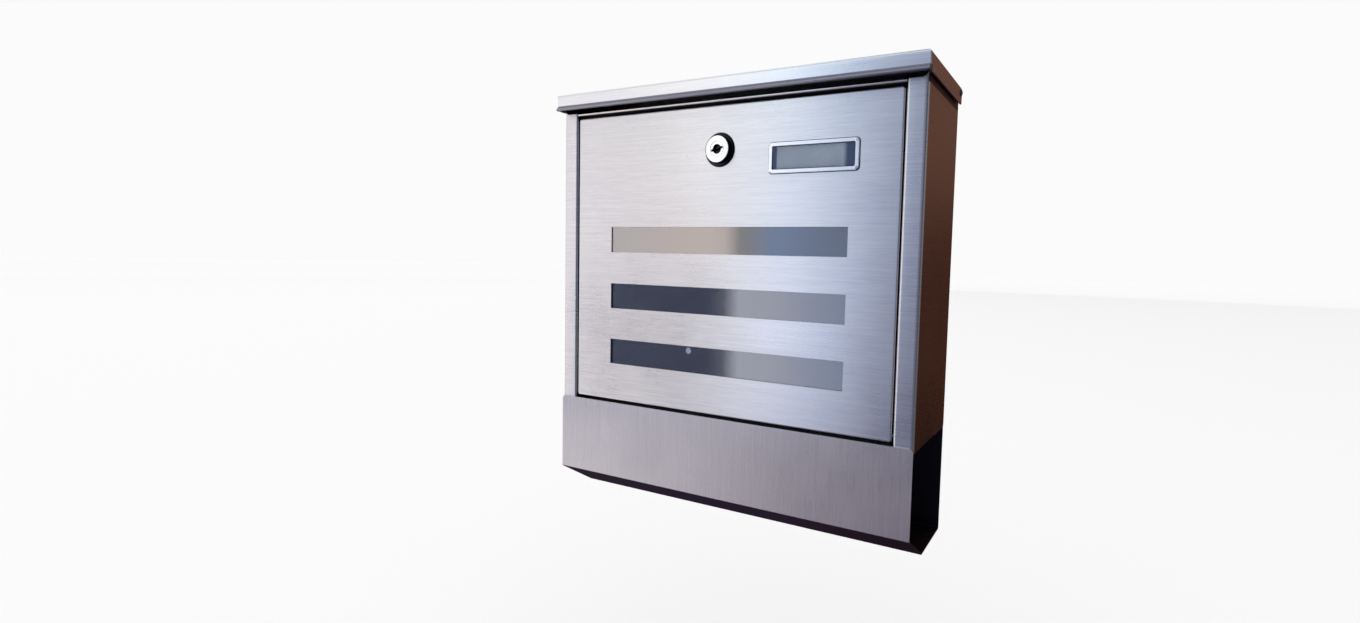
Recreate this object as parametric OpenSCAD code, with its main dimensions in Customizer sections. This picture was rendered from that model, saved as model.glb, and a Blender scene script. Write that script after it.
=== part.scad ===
// Wall mounted mailbox of folded sheet metal, with a lifting lid, a drop-down door
// with three windows, a cam lock, a name plate and a newspaper holder below.
// Origin: centre of the four wall holes, on the back face. +Z up, +Y into the wall.

/* [Casing] */
// Width of the casing
box_w = 300; // [280:5:340]
// Depth of the casing, front bars to wall
box_d = 91; // [85:1:110]
// Height of the wall hole pattern's centre above the casing's underside
hole_mid_z = 117; // [112:1:122]
// Thickness of every folded sheet
sheet_t = 0.8; // [0.6:0.1:0.8]
// Width of the front bar on each side of the door
bar_w = 14; // [12:1:18]
// Height of the front bars
bar_h = 237; // [237:0.5:238]

/* [Wall holes] */
// Distance between the wall holes, side to side
hole_span_x = 166; // [120:2:220]
// Distance between the wall holes, up and down
hole_span_z = 160; // [120:2:180]
// Diameter of a wall hole
hole_dia = 6; // [4:0.5:8]

/* [Door] */
// Gap between the door and each front bar
door_side_gap = 1; // [0.8:0.1:2.5]
// Height of the door's lower edge above the casing's underside
door_low_z = 5; // [4.5:0.5:6]
// Height of the door's upper edge above the casing's underside
door_top_z = 233; // [228:0.5:233]
// How far the door's face lies behind the front bars
door_recess = 1; // [0.5:0.1:1.5]
// Depth of the door's folded rim
door_rim = 10; // [8:0.5:10]

/* [Windows] */
// Length of a window slot
slot_w = 200; // [150:5:205]
// Height of a window slot
slot_h = 20; // [10:1:24]
// Distance from one window slot to the next
slot_pitch = 45; // [40:1:46]
// Height of the lowest window slot's centre
slot_first_z = 45; // [42:1:48]
// Number of window slots
slot_count = 3; // [1:1:3]

/* [Lock] */
// Height of the lock's axis
lock_z = 200.7; // [198:0.1:204]
// Diameter of the lock's flange
lock_flange_dia = 24; // [22:0.5:26]
// Reach of the cam from the lock's axis
cam_reach = 40; // [36:1:42]
// Tilt of the keyway from level
key_tilt = 14; // [0:1:20]

/* [Name plate] */
// Width of the name plate's frame
name_w = 66; // [50:1:68]
// Height of the name plate's frame
name_h = 21; // [16:1:24]
// Distance of the name plate's centre from the middle of the door
name_x = 73.3; // [70:0.1:85]
// Height of the name plate's centre
name_z = 192.5; // [190:0.1:196]

/* [Lid] */
// Height of the lid's top above the casing's underside
lid_top_z = 251.5; // [251:0.5:253]
// Overhang of the lid's lip in front of the bars
lid_over = 7; // [6:0.5:12]
// Height of the lid's lower side edge
lid_low_z = 239; // [238.5:0.5:241]

/* [Newspaper holder] */
// Drop of the holder below the casing
holder_drop = 80; // [60:5:120]
// Height of the sloping front corner below the casing
holder_knee = 58; // [40:2:58]
// Depth at which the slope meets the holder's floor
holder_slope_d = 35; // [20:1:45]
// Distance of the holder's back from the front bars
holder_d = 88; // [80:1:88]

/* [Hidden] */
$fn = 48;

eps = 0.01;
over = 1; // how far a cutter runs past what it cuts
steel = [0.76, 0.77, 0.79];
steel_light = [0.84, 0.85, 0.87];
chrome = [0.9, 0.91, 0.93];
zinc = [0.66, 0.67, 0.68];
rubber = [0.08, 0.08, 0.08];
clear = [0.55, 0.62, 0.72, 0.45];

// Bends: radius on the inside of the fold, and straight pieces in each bend
bend_steps = 6;
fold_r = 0.5;
return_r = 1;
corner_r = 1.7;

// Casing, in its own box: x from the middle, y back from the bars' face, z up from its underside
in_w = box_w - 2 * sheet_t;
open_x = box_w / 2 - bar_w;
return_d = 9;
side_top_z = 249;
back_top_z = 243.5;
notch_r = 4.2;

// Header over the door
header_low_z = 235;
header_lip_z = 236.5;
header_d = 12;
header_back_z = 226;
stop_t = 0.7;
stop_r = 3.5;
stop_x = 110;

// Door and its pivot
door_x = open_x - door_side_gap;
face_in_y = door_recess + sheet_t;
door_pivot = [5, 9];
pin_r = 1.5;
running_gap = 0.05;

// Lid and its pivot
lid_x = box_w / 2 + 2;
lid_pivot = [box_d - 4.7, lid_top_z - 4.6];
lid_rear_y = lid_pivot[0] + 2.2;
lid_bend_r = 1;
lip_crease = [-6.2, 242.4];
lip_end = [-8.8, 239.4];
hem_gap = 2;
hem_back = 3.5;
edge_r = 4;
lug_r = 3;
ear_r = 3.8;
washer_r = 2.9;
rivet_head_r = 2.9;
rivet_dome_r = 4.2;
rivet_head_h = 1.2;
rivet_tail_r = 2.3;
hem_h = 4.5;
fold_clear = 0.15;
lid_back_drop = 5.5;
lid_back_x = box_w / 2 - 3.2;

// Pads under the lid
pad_ys = [12, 62];
pad_l = 12;
pad_gap = 0.35;
pad_in = 4.5;
pad_w = 4.7;

// Slot guard under the lid
guard_z = 236.8;
guard_front_y = 46;
guard_drop = 15;

// Holder and its screws
front_flange_z = -12;
holder_top_z = 3.2;
holder_flange_y = 58;
holder_corner_r = 3;
screw_y = 72;
screw_xs = [-120, -40, 40, 120];
screw_r = 2;
screw_l = 5;
screw_head_r = 3.8;
screw_head_h = 2;
screw_dome_r = 5.5;
screw_nut_r = 4;
screw_nut_h = 3;
recess_w = 0.8;

// Windows: the pane behind them and its rails
slot_top_z = slot_first_z + (slot_count - 1) * slot_pitch + slot_h / 2;
pane_x = slot_w / 2 + 12.5;
pane_low_z = slot_first_z - slot_h / 2 - 13;
pane_top_z = slot_top_z + 13;
pane_t = 2;
rail_lap = 8.5;
rail_foot = 6.5;
rail_r = 0.3;
ledge_h = 9;

// Lock, from its face to the end of the cam screw
lock_r = lock_flange_dia / 2;
flange_y = -0.4;
knob_y = -3.6;
knob_r = 10.2;
knob_edge = 0.9;
flange_edge = 0.5;
barrel_flat = 1;
barrel_r = 7.9;
barrel_end_y = 14;
plug_r = 5.6;
nut_t = 3;
nut_r = 11;
lock_washer_r = 10.6;
washer_t = 0.6;
cam_y = 14.4;
cam_t = 1.75;
cam_w = 14;
cam_step = 8;
cam_corner_r = 4;
tang = 6;
mouth_r = 3.5;
mouth_d = 2.2;
key_l = 9.8;
key_t = 1.7;
key_d = 10;
cam_screw_r = 1.5;
cam_screw_l = 6;
cam_head_r = 3;
cam_head_h = 2;
cam_dome_r = 5;
cam_washer_r = 5.2;

// Name plate
name_r = 2.5;
name_rim = 3;
name_proud = 1.3;
neck_gap = 0.2;
neck_t = 0.6;
card_t = 0.3;
window_t = 0.7;
open_r = 0.6;
plate_t = 1.5;
plate_hole = 4; // how much smaller than the frame the door's hole is

// ---- Helpers ----

function unit(v) = v / norm(v);

function left_of(v) = [-v[1], v[0]];

function side_of(a, b) = sign(a[0] * b[1] - a[1] * b[0]);

function reversed(list) = [for (i = [len(list) - 1:-1:0]) list[i]];

// One face of a folded sheet round a corner p: a and b are the directions before and after it,
// r the radius inside the fold, and off how far this face lies to the left of the path
function bend(p, a, b, r, off) =
    let (
        s = side_of(a, b),
        half = acos(a * b) / 2,
        path_r = s > 0 ? r + sheet_t : r,
        start = p - a * path_r * tan(half),
        inward = left_of(a) * s,
        centre = start + inward * path_r,
        face_r = path_r - s * off,
        first = atan2(-inward[1], -inward[0])
    )
    [for (i = [0:bend_steps])
        let (w = first + s * 2 * half * i / bend_steps)
        centre + face_r * [cos(w), sin(w)]];

function face(path, r, off) =
    let (
        n = len(path),
        dirs = [for (i = [0:n - 2]) unit(path[i + 1] - path[i])]
    )
    concat(
        [path[0] + left_of(dirs[0]) * off],
        [for (i = [1:n - 2])
            each bend(path[i], dirs[i - 1], dirs[i], is_list(r) ? r[i - 1] : r, off)],
        [path[n - 1] + left_of(dirs[n - 2]) * off]
    );

// Section of a folded sheet that lies to the left of the path
module sheet(path, r = fold_r) {
    polygon(concat(face(path, r, 0), reversed(face(path, r, sheet_t))));
}

module rounded_rect(w, h, r) {
    square([w - 2 * r, h], center = true);
    square([w, h - 2 * r], center = true);
    for (x = [-1, 1], y = [-1, 1])
        translate([x * (w / 2 - r), y * (h / 2 - r)]) circle(r);
}

// Places the casing's own box in the part's frame
module in_box() {
    translate([0, -box_d, -hole_mid_z]) children();
}

// Extrudes a section drawn in y and z along x
module along_x(x0, x1) {
    translate([x0, 0, 0]) rotate([90, 0, 90]) linear_extrude(x1 - x0) children();
}

// Extrudes a section drawn in x and z along y
module along_y(y0, y1) {
    translate([0, y1, 0]) rotate([90, 0, 0]) linear_extrude(y1 - y0) children();
}

// Turns a shape drawn about +Z to run back along +Y from depth y at a place on the front
module facing(x, y, z) {
    translate([x, y, z]) rotate([-90, 0, 0]) children();
}

// Cross-shaped cutter for a screw head, rising from z = 0
module cross_recess(l, w) {
    for (turn = [0, 90])
        rotate([0, 0, turn]) translate([-l / 2, -w / 2, 0]) cube([l, w, 3]);
}

module both_sides() {
    for (side = [0, 1]) mirror([side, 0, 0]) children();
}

// Straight bar along x through both sides, for a hole on a pivot
module pivot_hole(at, r, x0, x1) {
    along_x(x0, x1) translate(at) circle(r);
}

// Plan of the space inside the casing's walls, open towards the front
module inside_plan() {
    translate([0, -sheet_t]) rounded_rect(in_w, 2 * box_d, corner_r);
}

// ---- Fixed body ----

module casing_plan() {
    x = box_w / 2;
    sheet(
        [
            [open_x, return_d], [open_x, 0], [x, 0], [x, box_d],
            [-x, box_d], [-x, 0], [-open_x, 0], [-open_x, return_d]
        ],
        [return_r, corner_r, corner_r, corner_r, corner_r, return_r]
    );
}

// Side view of the casing: level top, lower back and a lug round the lid's pivot
module casing_side() {
    square([lid_pivot[0], side_top_z]);
    square([box_d, back_top_z]);
    translate(lid_pivot) circle(lug_r);
}

// Opening over the front bars, with a round corner at each side wall
module casing_notch() {
    x = box_w / 2 - sheet_t;
    translate([-x + notch_r, bar_h]) square([2 * (x - notch_r), lid_top_z]);
    translate([-x, bar_h + notch_r]) square([2 * x, lid_top_z]);
    for (side = [-1, 1])
        translate([side * (x - notch_r), bar_h + notch_r]) circle(notch_r);
}

module casing() {
    color(steel) in_box() difference() {
        intersection() {
            linear_extrude(lid_top_z) casing_plan();
            along_x(-box_w, box_w) casing_side();
        }
        along_y(-1, return_d + 1) casing_notch();
        for (x = [-0.5, 0.5], z = [-0.5, 0.5])
            facing(x * hole_span_x, box_d / 2, hole_mid_z + z * hole_span_z)
                cylinder(h = box_d, r = hole_dia / 2);
        both_sides() pivot_hole(door_pivot, pin_r + running_gap, open_x - 1, open_x + 3);
        both_sides() pivot_hole(lid_pivot, pin_r + running_gap, box_w / 2 - 3, box_w);
    }
}

module bottom_panel() {
    rear_y = box_d - 2 * sheet_t;
    color(steel) in_box() difference() {
        intersection() {
            along_x(-in_w / 2, in_w / 2)
                sheet([[rear_y, 10], [rear_y, sheet_t], [0, sheet_t], [0, front_flange_z]]);
            translate([0, 0, front_flange_z]) linear_extrude(box_d) inside_plan();
        }
        // Room for the front bars and their folds
        both_sides() translate([open_x - 0.2, -over, 0])
            cube([bar_w + over, return_d + 0.5 + over, 2 * corner_r + over]);
        for (x = screw_xs)
            translate([x, screw_y, -over]) cylinder(h = sheet_t + 2 * over, r = screw_r + running_gap);
    }
}

// Rail over the door: a lip in front and a stop for the door and the cam behind
module header() {
    color(steel) in_box() along_x(-open_x, open_x)
        sheet([
            [0, header_lip_z], [0, header_low_z],
            [header_d, header_low_z], [header_d, header_back_z]
        ]);
}

// Deck behind the letter slot, which keeps hands out of the casing
module slot_guard() {
    rear_y = box_d - sheet_t;
    color(steel) in_box() intersection() {
        along_x(-in_w / 2, in_w / 2)
            sheet([
                [rear_y, guard_z - guard_drop], [rear_y, guard_z],
                [guard_front_y, guard_z], [guard_front_y, guard_z - guard_drop]
            ]);
        translate([0, 0, guard_z - 2 * guard_drop]) linear_extrude(3 * guard_drop) inside_plan();
    }
}

module newspaper_holder() {
    x = box_w / 2;
    color(steel_light) in_box() difference() {
        along_x(-x, x)
            sheet([
                [-sheet_t, holder_top_z], [-sheet_t, -holder_knee],
                [holder_slope_d, -holder_drop], [holder_d, -holder_drop],
                [holder_d, 0], [holder_flange_y, 0]
            ]);
        // Round upper corners of the front plate
        both_sides() along_y(-sheet_t - over, over)
            translate([x - holder_corner_r, holder_top_z - holder_corner_r]) difference() {
                square(holder_corner_r + over);
                circle(holder_corner_r);
            }
        for (x = screw_xs)
            translate([x, screw_y, -sheet_t - over])
                cylinder(h = sheet_t + 2 * over, r = screw_r + running_gap);
    }
}

module holder_screws() {
    head_z = sheet_t;
    color(zinc) in_box() for (x = screw_xs) translate([x, screw_y, 0]) difference() {
        union() {
            translate([0, 0, -screw_l]) cylinder(h = screw_l + head_z + eps, r = screw_r);
            translate([0, 0, head_z]) rotate_extrude() {
                square([screw_head_r - 0.4, recess_w]);
                intersection() {
                    square([screw_head_r, screw_head_h]);
                    translate([0, screw_head_h - screw_dome_r]) circle(screw_dome_r);
                }
            }
        }
        translate([0, 0, head_z + screw_head_h - 1]) cross_recess(3.6, recess_w);
    }
}

module holder_nuts() {
    color(zinc) in_box() for (x = screw_xs)
        translate([x, screw_y, -sheet_t - screw_nut_h]) difference() {
            cylinder(h = screw_nut_h, r = screw_nut_r, $fn = 6);
            translate([0, 0, -over]) cylinder(h = screw_nut_h + 2 * over, r = screw_r);
        }
}

module door_pins() {
    color(zinc) in_box() both_sides() {
        along_x(open_x - 4.5, open_x + sheet_t + eps) translate(door_pivot) circle(pin_r);
        along_x(open_x + sheet_t, open_x + sheet_t + 1.4) translate(door_pivot) circle(2 * pin_r);
    }
}

// Rivets that carry the lid: a round head outside and a flat one inside
module lid_rivets() {
    wall_x = box_w / 2;
    color(zinc) in_box() both_sides() translate([0, lid_pivot[0], lid_pivot[1]]) {
        translate([wall_x - sheet_t - rivet_head_h, 0, 0]) rotate([0, 90, 0])
            cylinder(h = rivet_head_h, r = rivet_tail_r);
        translate([wall_x - sheet_t - eps, 0, 0]) rotate([0, 90, 0])
            cylinder(h = lid_x - wall_x + sheet_t + 2 * eps, r = pin_r);
        translate([lid_x, 0, 0]) rotate([0, 90, 0]) rotate_extrude()
            intersection() {
                square([rivet_head_r, rivet_head_h]);
                translate([0, rivet_head_h - rivet_dome_r]) circle(rivet_dome_r);
            }
    }
}

module lid_washers() {
    wall_x = box_w / 2;
    color(rubber) in_box() both_sides() along_x(wall_x, lid_x - sheet_t - 0.1)
        translate(lid_pivot) difference() {
            circle(washer_r);
            circle(pin_r);
        }
}

// Rubber stops between the header and the door's upper rim
module door_bumpers() {
    color(rubber) in_box() for (x = [-stop_x, stop_x])
        facing(x, header_d - stop_t, header_back_z + stop_r + 1) cylinder(h = stop_t, r = stop_r);
}

// ---- Lid ----

module lid_section() {
    down = unit(lip_end - lip_crease);
    hem_low = lip_end + left_of(down) * hem_gap;
    sheet(
        [
            [lid_rear_y, lid_top_z - lid_back_drop], [lid_rear_y, lid_top_z],
            [-lid_over, lid_top_z], lip_crease,
            lip_end, hem_low, hem_low - down * hem_back
        ],
        [lid_bend_r, lid_bend_r, lid_bend_r, 0.15, 0.15]
    );
}

// Side view of the lid's flanges, with a round ear about the pivot
module lid_side() {
    lean_y = lip_crease[0] + sheet_t;
    low_r = 2;
    polygon([
        [-lid_over + sheet_t, lid_top_z], [lean_y, lip_crease[1]], [lean_y, lid_low_z],
        [lid_pivot[0] + ear_r - low_r, lid_low_z], [lid_pivot[0], lid_top_z]
    ]);
    translate([lid_pivot[0] - 5, lid_low_z + low_r])
        square([5 + ear_r, lid_pivot[1] - lid_low_z - low_r]);
    translate([lid_pivot[0] + ear_r - low_r, lid_low_z + low_r]) circle(low_r);
    translate([lid_pivot[0] - 5, lid_low_z]) square([5, lid_top_z - lid_low_z]);
    translate(lid_pivot) circle(ear_r);
}

module lid_outline() {
    outer_r = lid_bend_r + sheet_t;
    translate([0, lid_top_z - box_d / 2]) rounded_rect(2 * lid_x, box_d, outer_r);
}

module lid() {
    color(steel_light) in_box() difference() {
        intersection() {
            union() {
                along_x(-lid_x + sheet_t / 2, lid_x - sheet_t / 2) lid_section();
                intersection() {
                    along_y(-lid_over + eps, box_d)
                        sheet(
                            [
                                [lid_x, lid_low_z], [lid_x, lid_top_z],
                                [-lid_x, lid_top_z], [-lid_x, lid_low_z]
                            ],
                            lid_bend_r
                        );
                    along_x(-box_w, box_w) lid_side();
                }
                // Hem inside the lower edge of each side flange
                both_sides() translate([lid_x - 2 * sheet_t, lip_crease[0] + 2, lid_low_z])
                    cube([sheet_t + eps, lid_pivot[0] - 4, hem_h]);
            }
            along_y(-box_d, 2 * box_d) lid_outline();
        }
        // Rear flange stops short of the rivets
        both_sides() translate([lid_back_x, lid_rear_y - 3, lid_low_z])
            cube([lid_x - sheet_t - lid_back_x, 10, lid_top_z - sheet_t - lid_low_z - fold_clear]);
        // Round lower ends of the finger edge
        both_sides() along_y(-box_d, -2) difference() {
            translate([lid_x - edge_r + 1, lid_low_z - 5]) square([edge_r + over, 8]);
            translate([lid_x - edge_r + 0.5, lid_low_z + 3]) circle(edge_r);
        }
        both_sides() pivot_hole(lid_pivot, pin_r + running_gap, lid_x - 3, lid_x + 3);
    }
}

// Rubber pads under the lid, over the casing's side walls
module lid_bumpers() {
    low_z = side_top_z + pad_gap;
    color(rubber) in_box() both_sides() for (y = pad_ys)
        translate([box_w / 2 - pad_in, y, low_z])
            cube([pad_w, pad_l, lid_top_z - sheet_t - low_z]);
}

// ---- Door ----

module door_pan() {
    outer_r = fold_r + sheet_t;
    rear_y = door_recess + door_rim;
    color(steel) in_box() difference() {
        union() {
            // Face with its side flanges, then face with its upper and lower flanges
            translate([0, 0, door_low_z + outer_r])
                linear_extrude(door_top_z - door_low_z - 2 * outer_r)
                    sheet([
                        [-door_x, rear_y], [-door_x, door_recess],
                        [door_x, door_recess], [door_x, rear_y]
                    ]);
            along_x(-door_x + outer_r, door_x - outer_r)
                sheet([
                    [rear_y, door_top_z], [door_recess, door_top_z],
                    [door_recess, door_low_z], [rear_y, door_low_z]
                ]);
        }
        for (i = [0:slot_count - 1])
            translate([-slot_w / 2, 0, slot_first_z + i * slot_pitch - slot_h / 2])
                cube([slot_w, 5, slot_h]);
        facing(0, 0, lock_z) cylinder(h = 5, r = barrel_r + 0.2);
        translate([name_x, 0, name_z]) along_y(0, 5)
            square([name_w - plate_hole, name_h - plate_hole], center = true);
        both_sides() pivot_hole(door_pivot, pin_r + running_gap, door_x - 3, door_x + 1);
    }
}

module window_pane() {
    color(clear) in_box() translate([-pane_x, face_in_y, pane_low_z])
        cube([2 * pane_x, pane_t, pane_top_z - pane_low_z]);
}

// Strips behind the door that hold the pane: one up each side and a ledge below
module pane_rails() {
    back_y = face_in_y + pane_t;
    riser_x = pane_x + 0.5;
    color(zinc) in_box() {
        both_sides() translate([0, 0, pane_low_z - 1])
            linear_extrude(pane_top_z - pane_low_z + 1)
                sheet(
                    [
                        [pane_x - rail_lap, back_y], [riser_x, back_y],
                        [riser_x, face_in_y], [riser_x + rail_foot, face_in_y]
                    ],
                    rail_r
                );
        along_x(-pane_x + rail_lap + 1, pane_x - rail_lap - 1)
            sheet(
                [
                    [back_y + pane_t, pane_low_z], [face_in_y, pane_low_z],
                    [face_in_y, pane_low_z - ledge_h]
                ],
                rail_r
            );
    }
}

// Fixed half of the cam lock: knob, flange and flat-sided barrel
module lock_body() {
    knob_h = flange_y - knob_y;
    flange_h = door_recess - flange_y;
    barrel_h = barrel_end_y - door_recess;
    color(chrome) in_box() difference() {
        union() {
            facing(0, knob_y, lock_z) rotate_extrude($fn = 96)
                polygon([
                    [0, 0], [knob_r - knob_edge, 0], [knob_r - 0.25, 0.25], [knob_r, knob_edge],
                    [knob_r, knob_h], [lock_r - flange_edge, knob_h],
                    [lock_r, knob_h + flange_edge],
                    [lock_r, knob_h + flange_h], [0, knob_h + flange_h]
                ]);
            intersection() {
                facing(0, door_recess - eps, lock_z) cylinder(h = barrel_h + eps, r = barrel_r);
                translate([-barrel_r, 0, lock_z - barrel_r + barrel_flat])
                    cube([2 * barrel_r, barrel_end_y + over, 2 * (barrel_r - barrel_flat)]);
            }
        }
        facing(0, knob_y - over, lock_z)
            cylinder(h = barrel_end_y - knob_y + 2 * over, r = plug_r + running_gap);
    }
}

module lock_washer() {
    color(zinc) in_box() facing(0, face_in_y, lock_z) difference() {
        cylinder(h = washer_t, r = lock_washer_r);
        translate([0, 0, -over]) cylinder(h = washer_t + 2 * over, r = barrel_r + 0.1);
    }
}

module lock_nut() {
    color(zinc) in_box() facing(0, face_in_y + washer_t, lock_z) difference() {
        cylinder(h = nut_t, r = nut_r, $fn = 6);
        translate([0, 0, -over]) cylinder(h = nut_t + 2 * over, r = barrel_r);
    }
}

// Ring of the name plate, with a neck that passes through the door
module name_frame() {
    open_w = name_w - 2 * name_rim;
    open_h = name_h - 2 * name_rim + 0.4;
    neck_w = name_w - plate_hole - 2 * neck_gap;
    neck_h = name_h - plate_hole - 2 * neck_gap;
    front_y = door_recess - name_proud;
    color(steel_light) in_box() translate([name_x, 0, name_z]) difference() {
        union() {
            along_y(front_y + 0.4, door_recess) rounded_rect(name_w, name_h, name_r);
            along_y(front_y, front_y + 0.5) rounded_rect(name_w - 0.7, name_h - 0.7, name_r - 0.35);
            along_y(door_recess - eps, face_in_y) square([neck_w, neck_h], center = true);
        }
        along_y(front_y - 1, face_in_y + 1) rounded_rect(open_w, open_h, open_r);
        along_y(front_y + neck_t, face_in_y + 1)
            square([neck_w - 2 * neck_t, neck_h - 2 * neck_t], center = true);
    }
}

module name_insert(y, t) {
    inset = plate_hole + 2 * neck_gap + 2 * neck_t + 0.2;
    in_box() translate([name_x, 0, name_z]) along_y(y, y + t)
        square([name_w - inset, name_h - inset], center = true);
}

module name_window() {
    color(clear) name_insert(door_recess - name_proud + neck_t, window_t);
}

// Blank card behind the window
module name_card() {
    color([0.25, 0.27, 0.33]) name_insert(door_recess - name_proud + neck_t + window_t, card_t);
}

module name_backplate() {
    card_y = door_recess - name_proud + neck_t + window_t + card_t;
    color(rubber) {
        name_insert(card_y, face_in_y - card_y + eps);
        in_box() translate([name_x, 0, name_z])
            along_y(face_in_y, face_in_y + plate_t) rounded_rect(name_w, name_h, name_r);
    }
}

// ---- Lock plug and cam ----

module lock_plug() {
    head_y = knob_y + 0.15;
    color(chrome) in_box() difference() {
        union() {
            facing(0, head_y, lock_z) cylinder(h = barrel_end_y - head_y, r = plug_r);
            translate([-tang / 2, barrel_end_y - eps, lock_z - tang / 2])
                cube([tang, cam_y + cam_t - barrel_end_y + eps, tang]);
        }
        // Keyway: a round mouth with a slot across it
        facing(0, head_y - over, lock_z) cylinder(h = mouth_d + over, r = mouth_r);
        translate([0, 0, lock_z]) rotate([0, -key_tilt, 0])
            translate([-key_l / 2, head_y - over, -key_t / 2]) cube([key_l, key_d + over, key_t]);
        facing(0, cam_y + cam_t - cam_screw_l - 1, lock_z)
            cylinder(h = cam_screw_l + 1 + over, r = cam_screw_r);
    }
}

module lock_cam() {
    color(zinc) in_box() translate([0, 0, lock_z]) along_y(cam_y, cam_y + cam_t)
        difference() {
            union() {
                circle(cam_w / 2);
                translate([cam_corner_r - cam_reach, 1 - cam_w / 2])
                    square([cam_reach - cam_corner_r, cam_w - 2]);
                for (side = [-1, 1])
                    translate([cam_corner_r - cam_reach, side * (cam_w / 2 - 1 - cam_corner_r)])
                        circle(cam_corner_r);
                translate([-cam_reach, 1 + cam_corner_r - cam_w / 2])
                    square([cam_step, cam_w - 2 * (1 + cam_corner_r)]);
            }
            square(tang, center = true);
        }
}

module cam_washer() {
    color(zinc) in_box() facing(0, cam_y + cam_t, lock_z) difference() {
        cylinder(h = washer_t, r = cam_washer_r);
        translate([0, 0, -over]) cylinder(h = washer_t + 2 * over, r = cam_screw_r);
    }
}

module cam_screw() {
    head_y = cam_y + cam_t + washer_t;
    color(zinc) in_box() difference() {
        union() {
            facing(0, cam_y + cam_t - cam_screw_l, lock_z)
                cylinder(h = washer_t + cam_screw_l + eps, r = cam_screw_r);
            facing(0, head_y, lock_z) rotate_extrude()
                intersection() {
                    square([cam_head_r, cam_head_h]);
                    translate([0, cam_head_h - cam_dome_r]) circle(cam_dome_r);
                }
        }
        facing(0, head_y + cam_head_h - 1, lock_z) cross_recess(3.2, recess_w);
    }
}

casing();
bottom_panel();
header();
slot_guard();
newspaper_holder();
holder_screws();
holder_nuts();
door_pins();
lid_rivets();
lid_washers();
door_bumpers();
lid();
lid_bumpers();
door_pan();
window_pane();
pane_rails();
lock_body();
lock_washer();
lock_nut();
name_frame();
name_window();
name_card();
name_backplate();
lock_plug();
lock_cam();
cam_washer();
cam_screw();
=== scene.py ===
"""Wall mounted mailbox in brushed steel: materials, light and camera."""

import math

import bpy
from mathutils import Matrix, Vector


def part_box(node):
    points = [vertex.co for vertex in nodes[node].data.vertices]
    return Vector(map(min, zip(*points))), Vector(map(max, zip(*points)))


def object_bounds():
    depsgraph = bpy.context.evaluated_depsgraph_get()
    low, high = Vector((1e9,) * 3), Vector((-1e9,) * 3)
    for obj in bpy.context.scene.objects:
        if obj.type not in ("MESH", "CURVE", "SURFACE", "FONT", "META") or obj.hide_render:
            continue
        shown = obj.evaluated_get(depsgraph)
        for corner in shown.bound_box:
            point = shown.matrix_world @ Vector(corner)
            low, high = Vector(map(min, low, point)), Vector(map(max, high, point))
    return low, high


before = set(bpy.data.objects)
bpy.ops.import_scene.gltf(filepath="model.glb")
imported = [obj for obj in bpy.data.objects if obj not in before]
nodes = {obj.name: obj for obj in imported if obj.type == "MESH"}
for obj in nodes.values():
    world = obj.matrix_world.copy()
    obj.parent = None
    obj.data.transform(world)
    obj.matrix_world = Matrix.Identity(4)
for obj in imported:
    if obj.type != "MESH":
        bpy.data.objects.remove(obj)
cad_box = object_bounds()
scene = bpy.context.scene

MM = 0.001


# ---- Node helpers ----

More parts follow.
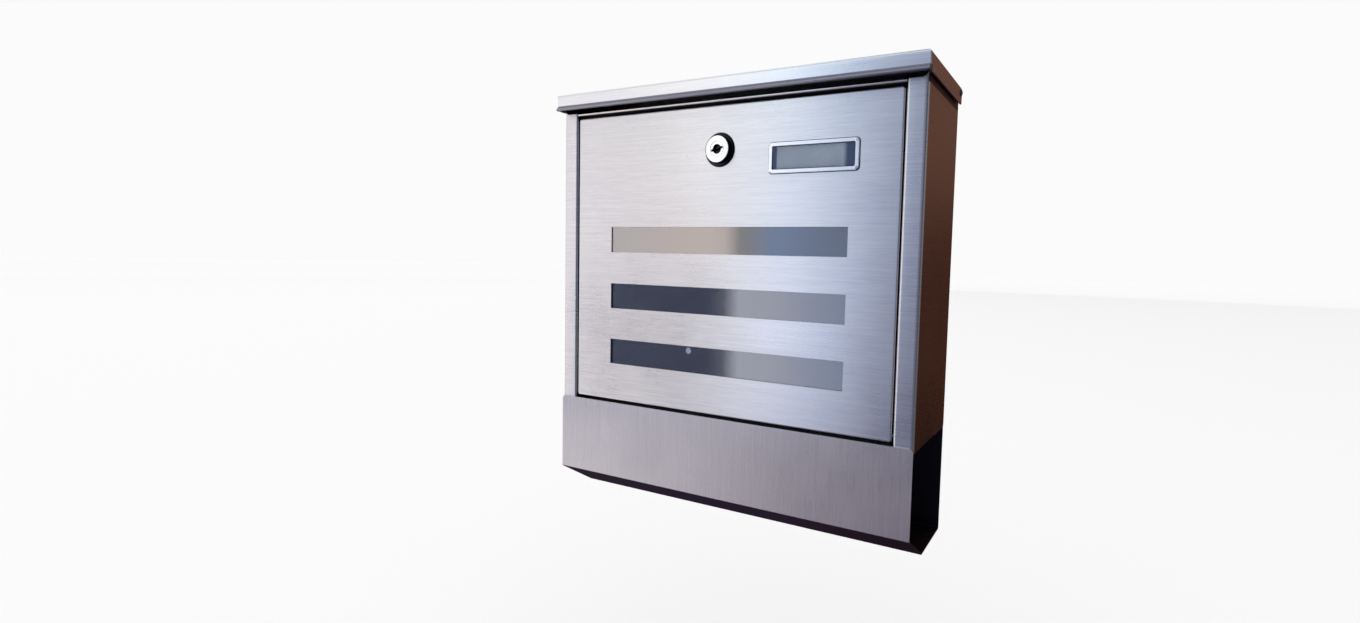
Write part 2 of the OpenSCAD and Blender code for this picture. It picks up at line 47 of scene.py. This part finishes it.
class Shader:
    """A material's node tree, with short calls for the nodes that the finishes share."""

    def __init__(self, name):
        self.material = bpy.data.materials.new(name)
        self.material.use_nodes = True
        self.tree = self.material.node_tree
        self.tree.nodes.clear()
        self.out = self.tree.nodes.new("ShaderNodeOutputMaterial")
        places = self.tree.nodes.new("ShaderNodeTexCoord")
        self.coord, self.normal = places.outputs["Object"], places.outputs["Normal"]

    def link(self, source, target):
        self.tree.links.new(source, target)

    def node(self, kind, **inputs):
        made = self.tree.nodes.new(kind)
        for key, value in inputs.items():
            self.put(made.inputs[key.replace("_", " ")], value)
        return made

    def put(self, socket, value):
        if isinstance(value, bpy.types.NodeSocket):
            self.link(value, socket)
        else:
            socket.default_value = value

    def scaled(self, scale):
        made = self.tree.nodes.new("ShaderNodeMapping")
        self.link(self.coord, made.inputs["Vector"])
        made.inputs["Scale"].default_value = scale
        return made.outputs["Vector"]

    def parts(self, vector):
        made = self.tree.nodes.new("ShaderNodeSeparateXYZ")
        self.link(vector, made.inputs[0])
        return made.outputs

    def noise(self, scale, detail=3.0, rough=0.55, where=None):
        made = self.node("ShaderNodeTexNoise", Vector=where or self.coord, Scale=scale,
                         Detail=detail, Roughness=rough)
        return made.outputs["Fac"]

    def span(self, value, low, high, out_low=0.0, out_high=1.0):
        made = self.node("ShaderNodeMapRange", Value=value)
        for key, number in (("From Min", low), ("From Max", high),
                            ("To Min", out_low), ("To Max", out_high)):
            made.inputs[key].default_value = number
        return made.outputs["Result"]

    def math(self, operation, a, b=0.0):
        made = self.tree.nodes.new("ShaderNodeMath")
        made.operation = operation
        self.put(made.inputs[0], a)
        self.put(made.inputs[1], b)
        return made.outputs[0]

    def vector(self, operation, a, b):
        made = self.tree.nodes.new("ShaderNodeVectorMath")
        made.operation = operation
        self.put(made.inputs[0], a)
        self.put(made.inputs[1], b)
        return made.outputs[0]

    def mix(self, factor, a, b):
        made = self.tree.nodes.new("ShaderNodeMix")
        made.data_type = "RGBA"
        self.put(made.inputs[0], factor)
        self.put(made.inputs[6], a)
        self.put(made.inputs[7], b)
        return made.outputs[2]

    def mix_vectors(self, factor, a, b):
        made = self.tree.nodes.new("ShaderNodeMix")
        made.data_type = "VECTOR"
        self.put(made.inputs[0], factor)
        self.put(made.inputs[4], a)
        self.put(made.inputs[5], b)
        return made.outputs[1]

    def dot(self, a, b):
        made = self.tree.nodes.new("ShaderNodeVectorMath")
        made.operation = "DOT_PRODUCT"
        self.put(made.inputs[0], a)
        self.put(made.inputs[1], b)
        return made.outputs["Value"]

    def bump(self, height, strength, distance):
        made = self.node("ShaderNodeBump", Height=height, Strength=strength, Distance=distance)
        return made.outputs["Normal"]

    def surface(self, **inputs):
        shader = self.node("ShaderNodeBsdfPrincipled", **inputs)
        self.link(shader.outputs["BSDF"], self.out.inputs["Surface"])
        return shader


def rgb(red, green, blue):
    return (red, green, blue, 1.0)


# ---- Materials ----

X, Z = (1.0, 0.0, 0.0), (0.0, 0.0, 1.0)
STRETCH = 50.0                    # how much finer the grain is across the brushing than along it
HAIR, STREAK, MOTTLE = 45.0, 13.0, 14.0        # noise scales, from fine to broad
NUDGE = (0.001, 0.002, 0.003)     # keeps the brushing's direction from being zero on any face
STEEL_GLOSS_STRETCH = 0.85
STEEL_BUMP, STEEL_BUMP_DEPTH = 0.035, 0.05 * MM
PORES = 2500.0
PANE_ROUGH = 0.005
RIM_DEPTHS = (1.6 * MM, 1.9 * MM)  # where the casing's bars end and its inside begins


def looks_along(s, axis):
    """1 on faces that look along an axis, either way; 0 is x, 1 is y and 2 is z."""
    return s.span(s.math("ABSOLUTE", s.parts(s.normal)[axis]), 0.6, 0.8)


def brushing(s, upright):
    """Direction of the brushing on each face, and places drawn out along it."""
    if upright:
        return s.vector("CROSS_PRODUCT", s.normal, X), s.scaled((STRETCH, 1.0, 1.0))
    level = looks_along(s, 2)
    along = s.mix_vectors(level, s.vector("CROSS_PRODUCT", Z, s.normal), X)
    place = s.mix_vectors(level, s.scaled((1.0, 1.0, STRETCH)), s.scaled((1.0, STRETCH, STRETCH)))
    return along, place


def facing_in(s, centre, front=None):
    """1 on faces that look towards a centre; with a front, only behind that depth."""
    away = s.vector("SUBTRACT", s.coord, centre)
    inner = s.span(s.dot(s.normal, away), 0.0, -2.0 * MM)
    if front is None:
        return inner
    depth = s.parts(s.coord)[1]
    return s.math("MULTIPLY", inner, s.span(depth, *(front + edge for edge in RIM_DEPTHS)))


def brushed_steel(name, light, dark, upright=False, rough=0.3, shade=None, tint=None,
                  inside=None):
    """Sheet steel with fine hairlines, soft streaks and a faint mottle.

    Where shade(s) is 1 the steel is rougher, and has the one colour given as inside: a painted
    shade."""
    s = Shader(name)
    along, place = brushing(s, upright)
    hair = s.noise(HAIR, detail=3.0, rough=0.6, where=place)
    streak = s.noise(STREAK, detail=3.0, rough=0.6, where=place)
    mottle = s.noise(MOTTLE, detail=4.0, rough=0.6)
    tone = s.math("ADD", s.span(hair, 0.3, 0.7, 0.1, 0.9), s.span(streak, 0.3, 0.7, -0.2, 0.2))
    tone = s.math("ADD", tone, s.span(mottle, 0.35, 0.65, -0.15, 0.15))
    colour = s.mix(s.span(tone, 0.0, 1.0), dark, light)
    roughness = s.math("ADD", s.span(hair, 0.3, 0.7, rough - 0.03, rough + 0.03),
                       s.span(mottle, 0.35, 0.65, -0.03, 0.03))
    if shade:
        dull_and_shaded = shade(s)
        # Painted shade: faces inside the box take the darker inside colour.
        colour = s.mix(dull_and_shaded, colour, inside or DEEP_SHADE)
        roughness = s.math("ADD", roughness, s.math("MULTIPLY", dull_and_shaded, 0.2))
    if tint:
        colour = tint(s, colour)
    height = s.math("ADD", s.math("MULTIPLY", hair, 0.7), s.math("MULTIPLY", streak, 0.3))
    turned = s.tree.nodes.new("ShaderNodeVectorTransform")
    turned.vector_type = "VECTOR"
    turned.convert_from, turned.convert_to = "OBJECT", "WORLD"
    s.link(s.vector("ADD", along, NUDGE), turned.inputs[0])
    geometry = s.tree.nodes.new("ShaderNodeNewGeometry")
    across = s.vector("CROSS_PRODUCT", geometry.outputs["Normal"], turned.outputs[0])
    s.surface(Base_Color=colour, Metallic=1.0, Roughness=roughness,
              Anisotropic=STEEL_GLOSS_STRETCH, Tangent=across,
              Normal=s.bump(height, STEEL_BUMP, STEEL_BUMP_DEPTH))
    return s.material


def plated(name, light, dark, rough=0.22, tint=None):
    """Zinc or chrome plate with faint handling marks."""
    s = Shader(name)
    cloud = s.noise(160.0, detail=4.0)
    marks = s.noise(900.0, detail=2.0)
    colour = s.mix(s.span(cloud, 0.3, 0.7), dark, light)
    if tint:
        colour = tint(s, colour)
    roughness = s.math("ADD", s.span(cloud, 0.3, 0.7, rough * 0.8, rough * 1.25),
                       s.span(marks, 0.5, 0.7, 0.0, 0.04))
    s.surface(Base_Color=colour, Metallic=1.0, Roughness=roughness,
              Normal=s.bump(marks, 0.05, 0.00004))
    return s.material


def moulded(name, light, dark, rough=0.5, tint=None):
    """Plastic, rubber or paper with a fine grain."""
    s = Shader(name)
    pores = s.noise(PORES, detail=2.0)
    cloud = s.noise(60.0, detail=3.0)
    colour = s.mix(s.span(cloud, 0.3, 0.7), dark, light)
    if tint:
        colour = tint(s, colour)
    s.surface(Base_Color=colour, Roughness=s.span(pores, 0.3, 0.7, rough - 0.06, rough + 0.08),
              Normal=s.bump(pores, 0.25, 0.00008))
    return s.material


def clear_plastic(name, tint, ior):
    """Glossy clear sheet, faintly uneven, so that its reflections waver."""
    s = Shader(name)
    haze = s.noise(45.0, detail=4.0)
    roughness = s.span(haze, 0.35, 0.65, PANE_ROUGH, PANE_ROUGH + 0.015)
    s.surface(Base_Color=tint, Roughness=roughness, Transmission_Weight=1.0, IOR=ior,
              Normal=s.bump(haze, 0.01, 0.0005))
    return s.material


def label_film(name, tint):
    """Thin clear film with a soft sheen, over a card."""
    s = Shader(name)
    haze = s.noise(120.0, detail=3.0)
    s.surface(Base_Color=tint, Roughness=s.span(haze, 0.35, 0.65, 0.05, 0.12), Alpha=0.25,
              IOR=1.6, Normal=s.bump(haze, 0.02, 0.0002))
    return s.material


# ---- Where painted shade and painted reflection go on each finish ----

BLACK = rgb(0.02, 0.02, 0.025)
# Inside colours, painted shade for faces inside the box.
DEEP_SHADE, SOFT_SHADE = rgb(0.06, 0.06, 0.08), rgb(0.42, 0.42, 0.44)
CHROME = rgb(0.94, 0.95, 0.96), rgb(0.88, 0.89, 0.91)
PANE_IOR = 2.5    # above acrylic's 1.49, for reflections as strong as the photo's
box_low, box_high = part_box("casing")
box_mid = (box_low + box_high) / 2
lid_low, lid_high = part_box("lid")
plug_low, plug_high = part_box("lock_plug")
body_low, body_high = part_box("lock_body")
card_low, card_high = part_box("name_card")
pan_low, pan_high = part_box("door_pan")
hold_low, hold_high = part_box("newspaper_holder")
plate_low, plate_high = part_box("name_frame")
lock_x, lock_z = (body_low.x + body_high.x) / 2, (body_low.z + body_high.z) / 2
lock_r = (body_high.x - body_low.x) / 2


# Masks for painted shade on the insides of the casing, door, holder and lid, and in the gap behind
# the header's front.
def casing_inside(s):
    return facing_in(s, box_mid, box_low.y)


def door_inside(s):
    return facing_in(s, (0.0, (pan_low.y + pan_high.y) / 2, (pan_low.z + pan_high.z) / 2))


def header_inside(s):
    return s.span(s.parts(s.coord)[1], box_low.y + 0.5 * MM, box_low.y + 0.7 * MM)


def holder_inside(s):
    return facing_in(s, (hold_low + hold_high) / 2)


def lid_inside(s):
    return facing_in(s, (0.0, box_mid.y, lid_high.z - 6.0 * MM))


# Painted shade over the whole part.
def all_over(s):
    return s.span(s.parts(s.coord)[2], -10.0, -9.0)


def painted_shadow_under_lid(s, colour):
    """Painted shadow on the casing's sides, just under the lid."""
    top = s.span(s.parts(s.coord)[2], lid_low.z - 5.0 * MM, lid_low.z - 4.0 * MM)
    return s.mix(s.math("MULTIPLY", top, looks_along(s, 0)), colour, BLACK)


def painted_shade_finger_edge(s, colour):
    """Painted shade on the lid's finger edge, where it faces down."""
    _, y, z = s.parts(s.coord)
    low = s.span(z, lid_low.z + 4.6 * MM, lid_low.z + 4.1 * MM)
    front = s.span(y, box_low.y - 1.5 * MM, box_low.y - 2.5 * MM)
    return s.mix(s.math("MULTIPLY", low, front), colour, rgb(0.34, 0.34, 0.40))


def round_box(s, low, high, radius):
    """Distance outside a box with round corners, seen from the front."""
    x, _, z = s.parts(s.coord)
    reach = []
    for place, a, b in ((x, low.x, high.x), (z, low.z, high.z)):
        from_middle = s.math("ABSOLUTE", s.math("SUBTRACT", place, (a + b) / 2))
        reach.append(s.math("MAXIMUM", s.math("SUBTRACT", from_middle, (b - a) / 2 - radius), 0.0))
    squares = [s.math("MULTIPLY", r, r) for r in reach]
    return s.math("SUBTRACT", s.math("SQRT", s.math("ADD", *squares)), radius)


def painted_shadow_outlines(s, colour):
    """Thin dark lines of painted shadow on the door where the name plate and the lock meet it."""
    plate = s.span(round_box(s, plate_low, plate_high, 2.5 * MM), 0.75 * MM, 0.5 * MM)
    lock = s.span(from_lock_axis(s), lock_r + 0.6 * MM, lock_r + 0.4 * MM)
    return s.mix(s.math("MAXIMUM", plate, lock), colour, rgb(0.10, 0.10, 0.13))


def from_lock_axis(s):
    x, _, z = s.parts(s.coord)
    across = s.math("SUBTRACT", x, lock_x)
    up = s.math("SUBTRACT", z, lock_z)
    return s.math("SQRT", s.math("ADD", s.math("MULTIPLY", across, across),
                                 s.math("MULTIPLY", up, up)))


def painted_reflection_ring(s, colour):
    """Painted dark reflection round the lock knob's side and flange."""
    return s.mix(s.span(from_lock_axis(s), 9.4 * MM, 9.55 * MM), colour, BLACK)


def painted_shade_keyway(s, colour):
    """Painted shade on the keyway's walls."""
    depth = s.parts(s.coord)[1]
    inside = s.math("MULTIPLY", s.span(depth, plug_low.y + 0.1 * MM, plug_low.y + 0.3 * MM),
                    s.span(depth, plug_low.y + 11.0 * MM, plug_low.y + 10.5 * MM))
    return s.mix(inside, colour, BLACK)


def painted_shade_walls(s, colour):
    """Painted shade: edges that run front to back are darker than the front, and so is the
    window's mouth.
    """
    wall = s.span(s.math("ABSOLUTE", s.parts(s.normal)[1]), 0.75, 0.45)
    rim = Vector((3.0 * MM, 0.0, 2.8 * MM))
    mouth = s.span(round_box(s, plate_low + rim, plate_high - rim, 0.6 * MM), 0.5 * MM, 0.3 * MM)
    return s.mix(s.math("MAXIMUM", wall, mouth), colour, rgb(0.05, 0.05, 0.07))


def painted_shade_card_ends(s, colour):
    """Painted shade darkens both ends of the blank card."""
    x = s.parts(s.coord)[0]
    left = s.span(x, card_low.x + 3.4 * MM, card_low.x + 2.6 * MM)
    right = s.span(x, card_high.x - 8.5 * MM, card_high.x - 5.5 * MM)
    return s.mix(s.math("MAXIMUM", left, right), colour, rgb(0.02, 0.05, 0.16))


# Each inside colour below is painted shade.
door_steel = brushed_steel("door_steel", rgb(0.90, 0.905, 0.92), rgb(0.69, 0.70, 0.725),
                           shade=door_inside, tint=painted_shadow_outlines, inside=SOFT_SHADE)
casing_steel = brushed_steel("casing_steel", rgb(0.90, 0.90, 0.92), rgb(0.70, 0.71, 0.74),
                             shade=casing_inside, tint=painted_shadow_under_lid,
                             inside=rgb(0.11, 0.11, 0.13))
# The lid's lighter tone is painted light, to brighten its reflections above the other steel's.
lid_steel = brushed_steel("lid_steel", rgb(0.98, 1.0, 1.0), rgb(0.84, 0.87, 0.90),
                          shade=lid_inside, tint=painted_shade_finger_edge, inside=SOFT_SHADE)
header_steel = brushed_steel("header_steel", rgb(1.0, 0.98, 0.93), rgb(0.92, 0.90, 0.86),
                             shade=header_inside)
holder_steel = brushed_steel("holder_steel", rgb(0.82, 0.80, 0.83), rgb(0.66, 0.65, 0.68),
                             upright=True, shade=holder_inside)
inner_steel = brushed_steel("inner_steel", rgb(0.80, 0.80, 0.82), rgb(0.66, 0.66, 0.68),
                            shade=all_over, inside=rgb(0.20, 0.20, 0.22))
zinc = plated("zinc_plate", rgb(0.66, 0.67, 0.68), rgb(0.52, 0.53, 0.55), rough=0.32)
dark_zinc = plated("dark_zinc", rgb(0.16, 0.15, 0.16), rgb(0.09, 0.09, 0.10), rough=0.28)
chrome_body = plated("chrome_body", *CHROME, 0.14, painted_reflection_ring)
chrome_plug = plated("chrome_plug", *CHROME, 0.16, painted_shade_keyway)
satin = plated("satin_frame", rgb(0.98, 0.98, 1.0), rgb(0.90, 0.90, 0.93), 0.22, painted_shade_walls)
nylon = moulded("black_nylon", rgb(0.045, 0.045, 0.05), rgb(0.025, 0.025, 0.028), rough=0.45)
rubber = moulded("black_rubber", rgb(0.04, 0.04, 0.04), rgb(0.02, 0.02, 0.02), rough=0.75)
card = moulded("blank_card", rgb(0.80, 0.90, 0.98), rgb(0.66, 0.76, 0.88), 0.7, tint=painted_shade_card_ends)
acrylic = clear_plastic("clear_acrylic", rgb(0.33, 0.37, 0.49), PANE_IOR)
label_clear = label_film("clear_label", rgb(0.13, 0.19, 0.34))

FINISH = {
    "casing": casing_steel, "bottom_panel": inner_steel, "header": header_steel,
    "slot_guard": inner_steel, "newspaper_holder": holder_steel, "holder_screws": zinc,
    "holder_nuts": zinc, "door_pins": zinc, "lid_rivets": dark_zinc, "lid_washers": nylon,
    "door_bumpers": rubber, "lid": lid_steel, "lid_bumpers": rubber, "door_pan": door_steel,
    "window_pane": acrylic, "pane_rails": zinc, "lock_body": chrome_body, "lock_washer": zinc,
    "lock_nut": zinc, "name_frame": satin, "name_window": label_clear, "name_card": card,
    "name_backplate": nylon, "lock_plug": chrome_plug, "lock_cam": zinc, "cam_washer": zinc,
    "cam_screw": zinc,
}
EDGE = {"window_pane": 0.15, "name_window": 0.1, "name_card": 0.0, "lock_body": 0.15,
        "name_frame": 0.2, "door_bumpers": 0.2, "lid_bumpers": 0.3, "newspaper_holder": 0.3}


def soften(obj, width):
    """Breaks the sharp edges, and shades the folds as smooth curves."""
    obj.data.shade_smooth()
    obj.modifiers.new("weld", "WELD").merge_threshold = 0.002 * MM
    if width > 0.0:
        bevel = obj.modifiers.new("bevel", "BEVEL")
        bevel.width, bevel.segments = width, 2
        bevel.limit_method, bevel.angle_limit = "ANGLE", math.radians(40.0)
    obj.modifiers.new("normals", "WEIGHTED_NORMAL").keep_sharp = True


for name, finish in FINISH.items():
    nodes[name].data.materials.clear()
    nodes[name].data.materials.append(finish)
    soften(nodes[name], EDGE.get(name, 0.12) * MM)


# ---- Stage: floor, light and camera ----

LIGHT, FLOOR_SHADE = 1.05, 0.92
FLOOR_DROP, FLOOR_REACH = 0.25, 30.0
floor_z = cad_box[0].z - FLOOR_DROP
corners = [(x * FLOOR_REACH, y * FLOOR_REACH, floor_z)
           for x, y in ((-1, -1), (1, -1), (1, 1), (-1, 1))]
mesh = bpy.data.meshes.new("floor")
mesh.from_pydata(corners, [], [(0, 1, 2, 3)])
floor = bpy.data.objects.new("floor", mesh)
scene.collection.objects.link(floor)
paint = Shader("floor_paint")
paint.surface(Base_Color=rgb(FLOOR_SHADE, FLOOR_SHADE, FLOOR_SHADE), Roughness=0.9)
mesh.materials.append(paint.material)
floor.visible_glossy = False


def ramp(s, value, stops):
    """Colour by value along stops of (place, colour), from lowest to highest place."""
    first, last = stops[0][0], stops[-1][0]
    made = s.node("ShaderNodeValToRGB", Fac=s.span(value, first, last))
    made.color_ramp.interpolation = "EASE"
    points = made.color_ramp.elements
    while len(points) < len(stops):
        points.new(0.5)
    for point, (place, colour) in zip(points, stops):
        point.position = (place - first) / (last - first)
        point.color = rgb(*colour)
    return made.outputs["Color"]


# What the metal reflects, as (degrees left of straight in front, colour) in four bands of height.
# It stands in for the photo's surroundings and was set by probe from the photo's camera:
# a warm wall behind, a pale room, a dark strip on the right, cool light in front, pale light left
SEAM = -210
BROWN_SKY, BROWN_MID, BROWN_LOW = (0.13, 0.06, 0.042), (0.045, 0.017, 0.01), (0.012, 0.005, 0.003)


def band(seam, brown, *stops):
    """Stops all round: the seam, the warm wall behind, then the stops given."""
    return [(SEAM, seam), (-197, brown), (-142, brown), *stops, (SEAM + 360, seam)]


SKY = band(
    (0.9, 0.9, 0.92), BROWN_SKY,
    (-122, (0.26, 0.26, 0.28)), (-80, (0.26, 0.26, 0.28)), (-74, (0.06, 0.06, 0.08)),
    (-45, (0.06, 0.06, 0.08)), (-30, (0.24, 0.26, 0.33)), (5, (0.29, 0.32, 0.44)),
    (16, (0.35, 0.39, 0.53)), (20, (0.50, 0.60, 0.80)), (23.5, (1.0, 1.12, 1.2)),
    (33, (1.24, 1.24, 1.22)), (39, (0.85, 0.83, 0.86)), (60, (0.74, 0.73, 0.75)))
LOW_SKY = band(
    (0.6, 0.6, 0.62), BROWN_MID,
    (-122, (0.14, 0.14, 0.16)), (-40, (0.15, 0.15, 0.19)), (10, (0.26, 0.3, 0.43)),
    (19, (0.45, 0.56, 0.85)), (27, (0.66, 0.88, 1.36)), (28.2, (0.9, 0.84, 0.8)),
    (30.0, (0.95, 0.88, 0.82)), (30.6, (2.35, 2.0, 1.8)), (45, (1.95, 1.8, 1.8)),
    (60, (0.95, 0.9, 0.9)))
HORIZON = band(
    (0.5, 0.5, 0.5), BROWN_MID,
    (-122, (0.12, 0.12, 0.13)), (-40, (0.12, 0.12, 0.15)), (10, (0.14, 0.15, 0.21)),
    (17, (0.18, 0.19, 0.28)), (20, (0.9, 1.05, 1.45)), (27, (1.45, 1.5, 1.75)),
    (30.1, (1.55, 1.6, 1.8)), (30.6, (0.03, 0.04, 0.12)), (41, (0.05, 0.06, 0.14)),
    (47, (0.95, 0.9, 0.9)))
GROUND = band(
    (0.03, 0.02, 0.035), BROWN_LOW,
    (-122, (0.1, 0.1, 0.1)), (0, (0.10, 0.09, 0.13)), (15, (0.12, 0.10, 0.15)),
    (23, (0.26, 0.24, 0.31)), (31, (0.50, 0.48, 0.56)), (37, (0.86, 0.82, 0.84)),
    (41, (1.15, 1.08, 1.08)), (60, (1.1, 1.05, 1.05)), (75, (0.1, 0.09, 0.12)))
NADIR = (0.02, 0.012, 0.025)
# From the lowest: a band, and the rise in degrees over which it takes over from what is below
BANDS = [(GROUND, -60.0, -24.0), (HORIZON, -14.5, -12.5), (LOW_SKY, -1.0, 0.5), (SKY, 3.5, 7.0)]
DOME_RADIUS = 12.0


def reflection_dome():
    """Large shell that only reflections see, coloured by direction."""
    bpy.ops.mesh.primitive_uv_sphere_add(segments=48, ring_count=24, radius=DOME_RADIUS)
    dome = bpy.context.object
    dome.name = "reflection_dome"
    s = Shader("reflection_dome")
    x, y, z = s.parts(s.vector("NORMALIZE", s.coord, X))
    turn = s.math("ARCTAN2", s.math("MULTIPLY", x, -1.0), s.math("MULTIPLY", y, -1.0))
    left = s.math("MULTIPLY", turn, 180.0 / math.pi)
    left = s.math("ADD", s.math("MODULO", s.math("SUBTRACT", left, SEAM), 360.0), SEAM)
    rise = s.math("MULTIPLY", s.math("ARCSINE", z), 180.0 / math.pi)
    colour = rgb(*NADIR)
    for stops, from_rise, to_rise in BANDS:
        colour = s.mix(s.span(rise, from_rise, to_rise), colour, ramp(s, left, stops))
    glow = s.node("ShaderNodeEmission", Color=colour, Strength=1.0)
    s.link(glow.outputs[0], s.out.inputs["Surface"])
    dome.data.materials.append(s.material)
    dome.visible_camera = dome.visible_diffuse = dome.visible_shadow = False
    dome.visible_transmission = False


def backdrop():
    """Even pale light all round; the camera sees it in the floor's own shade."""
    world = bpy.data.worlds.new("studio")
    scene.world = world
    world.use_nodes = True
    tree = world.node_tree
    path = tree.nodes.new("ShaderNodeLightPath")
    seen = tree.nodes.new("ShaderNodeMix")
    seen.inputs[2].default_value, seen.inputs[3].default_value = LIGHT, LIGHT * FLOOR_SHADE
    tree.links.new(path.outputs["Is Camera Ray"], seen.inputs[0])
    tree.links.new(seen.outputs[0], tree.nodes["Background"].inputs["Strength"])
    tree.nodes["Background"].inputs["Color"].default_value = rgb(1.0, 1.0, 1.0)
    scene.view_settings.view_transform = "Standard"


reflection_dome()
backdrop()


# The camera, fitted to the photo's straight edges
CAMERA_PLACE = (0.2501, -0.5010, 0.0039)
YAW, PITCH, ROLL = 27.77, -4.03, 1.5
LENS, SENSOR = 17.26, 36.0
SHIFT_X, SHIFT_Y = -0.0566, -0.0033


def camera():
    """Camera near the height of the door's middle, right of the box, turned left."""
    yaw, pitch, roll = (math.radians(angle) for angle in (YAW, PITCH, ROLL))
    ahead = Vector((-math.sin(yaw) * math.cos(pitch), math.cos(yaw) * math.cos(pitch),
                    math.sin(pitch)))
    level = Vector((math.cos(yaw), math.sin(yaw), 0.0))
    upright = level.cross(ahead)
    right = level * math.cos(roll) + upright * math.sin(roll)
    up = upright * math.cos(roll) - level * math.sin(roll)
    data = bpy.data.cameras.new("camera")
    data.sensor_width, data.lens = SENSOR, LENS
    data.shift_x, data.shift_y = SHIFT_X, SHIFT_Y
    data.clip_start, data.clip_end = 0.01, 100.0
    made = bpy.data.objects.new("camera", data)
    scene.collection.objects.link(made)
    place = Matrix((right, up, -ahead)).transposed().to_4x4()
    place.translation = Vector(CAMERA_PLACE)
    made.matrix_world = place
    scene.camera = made


camera()
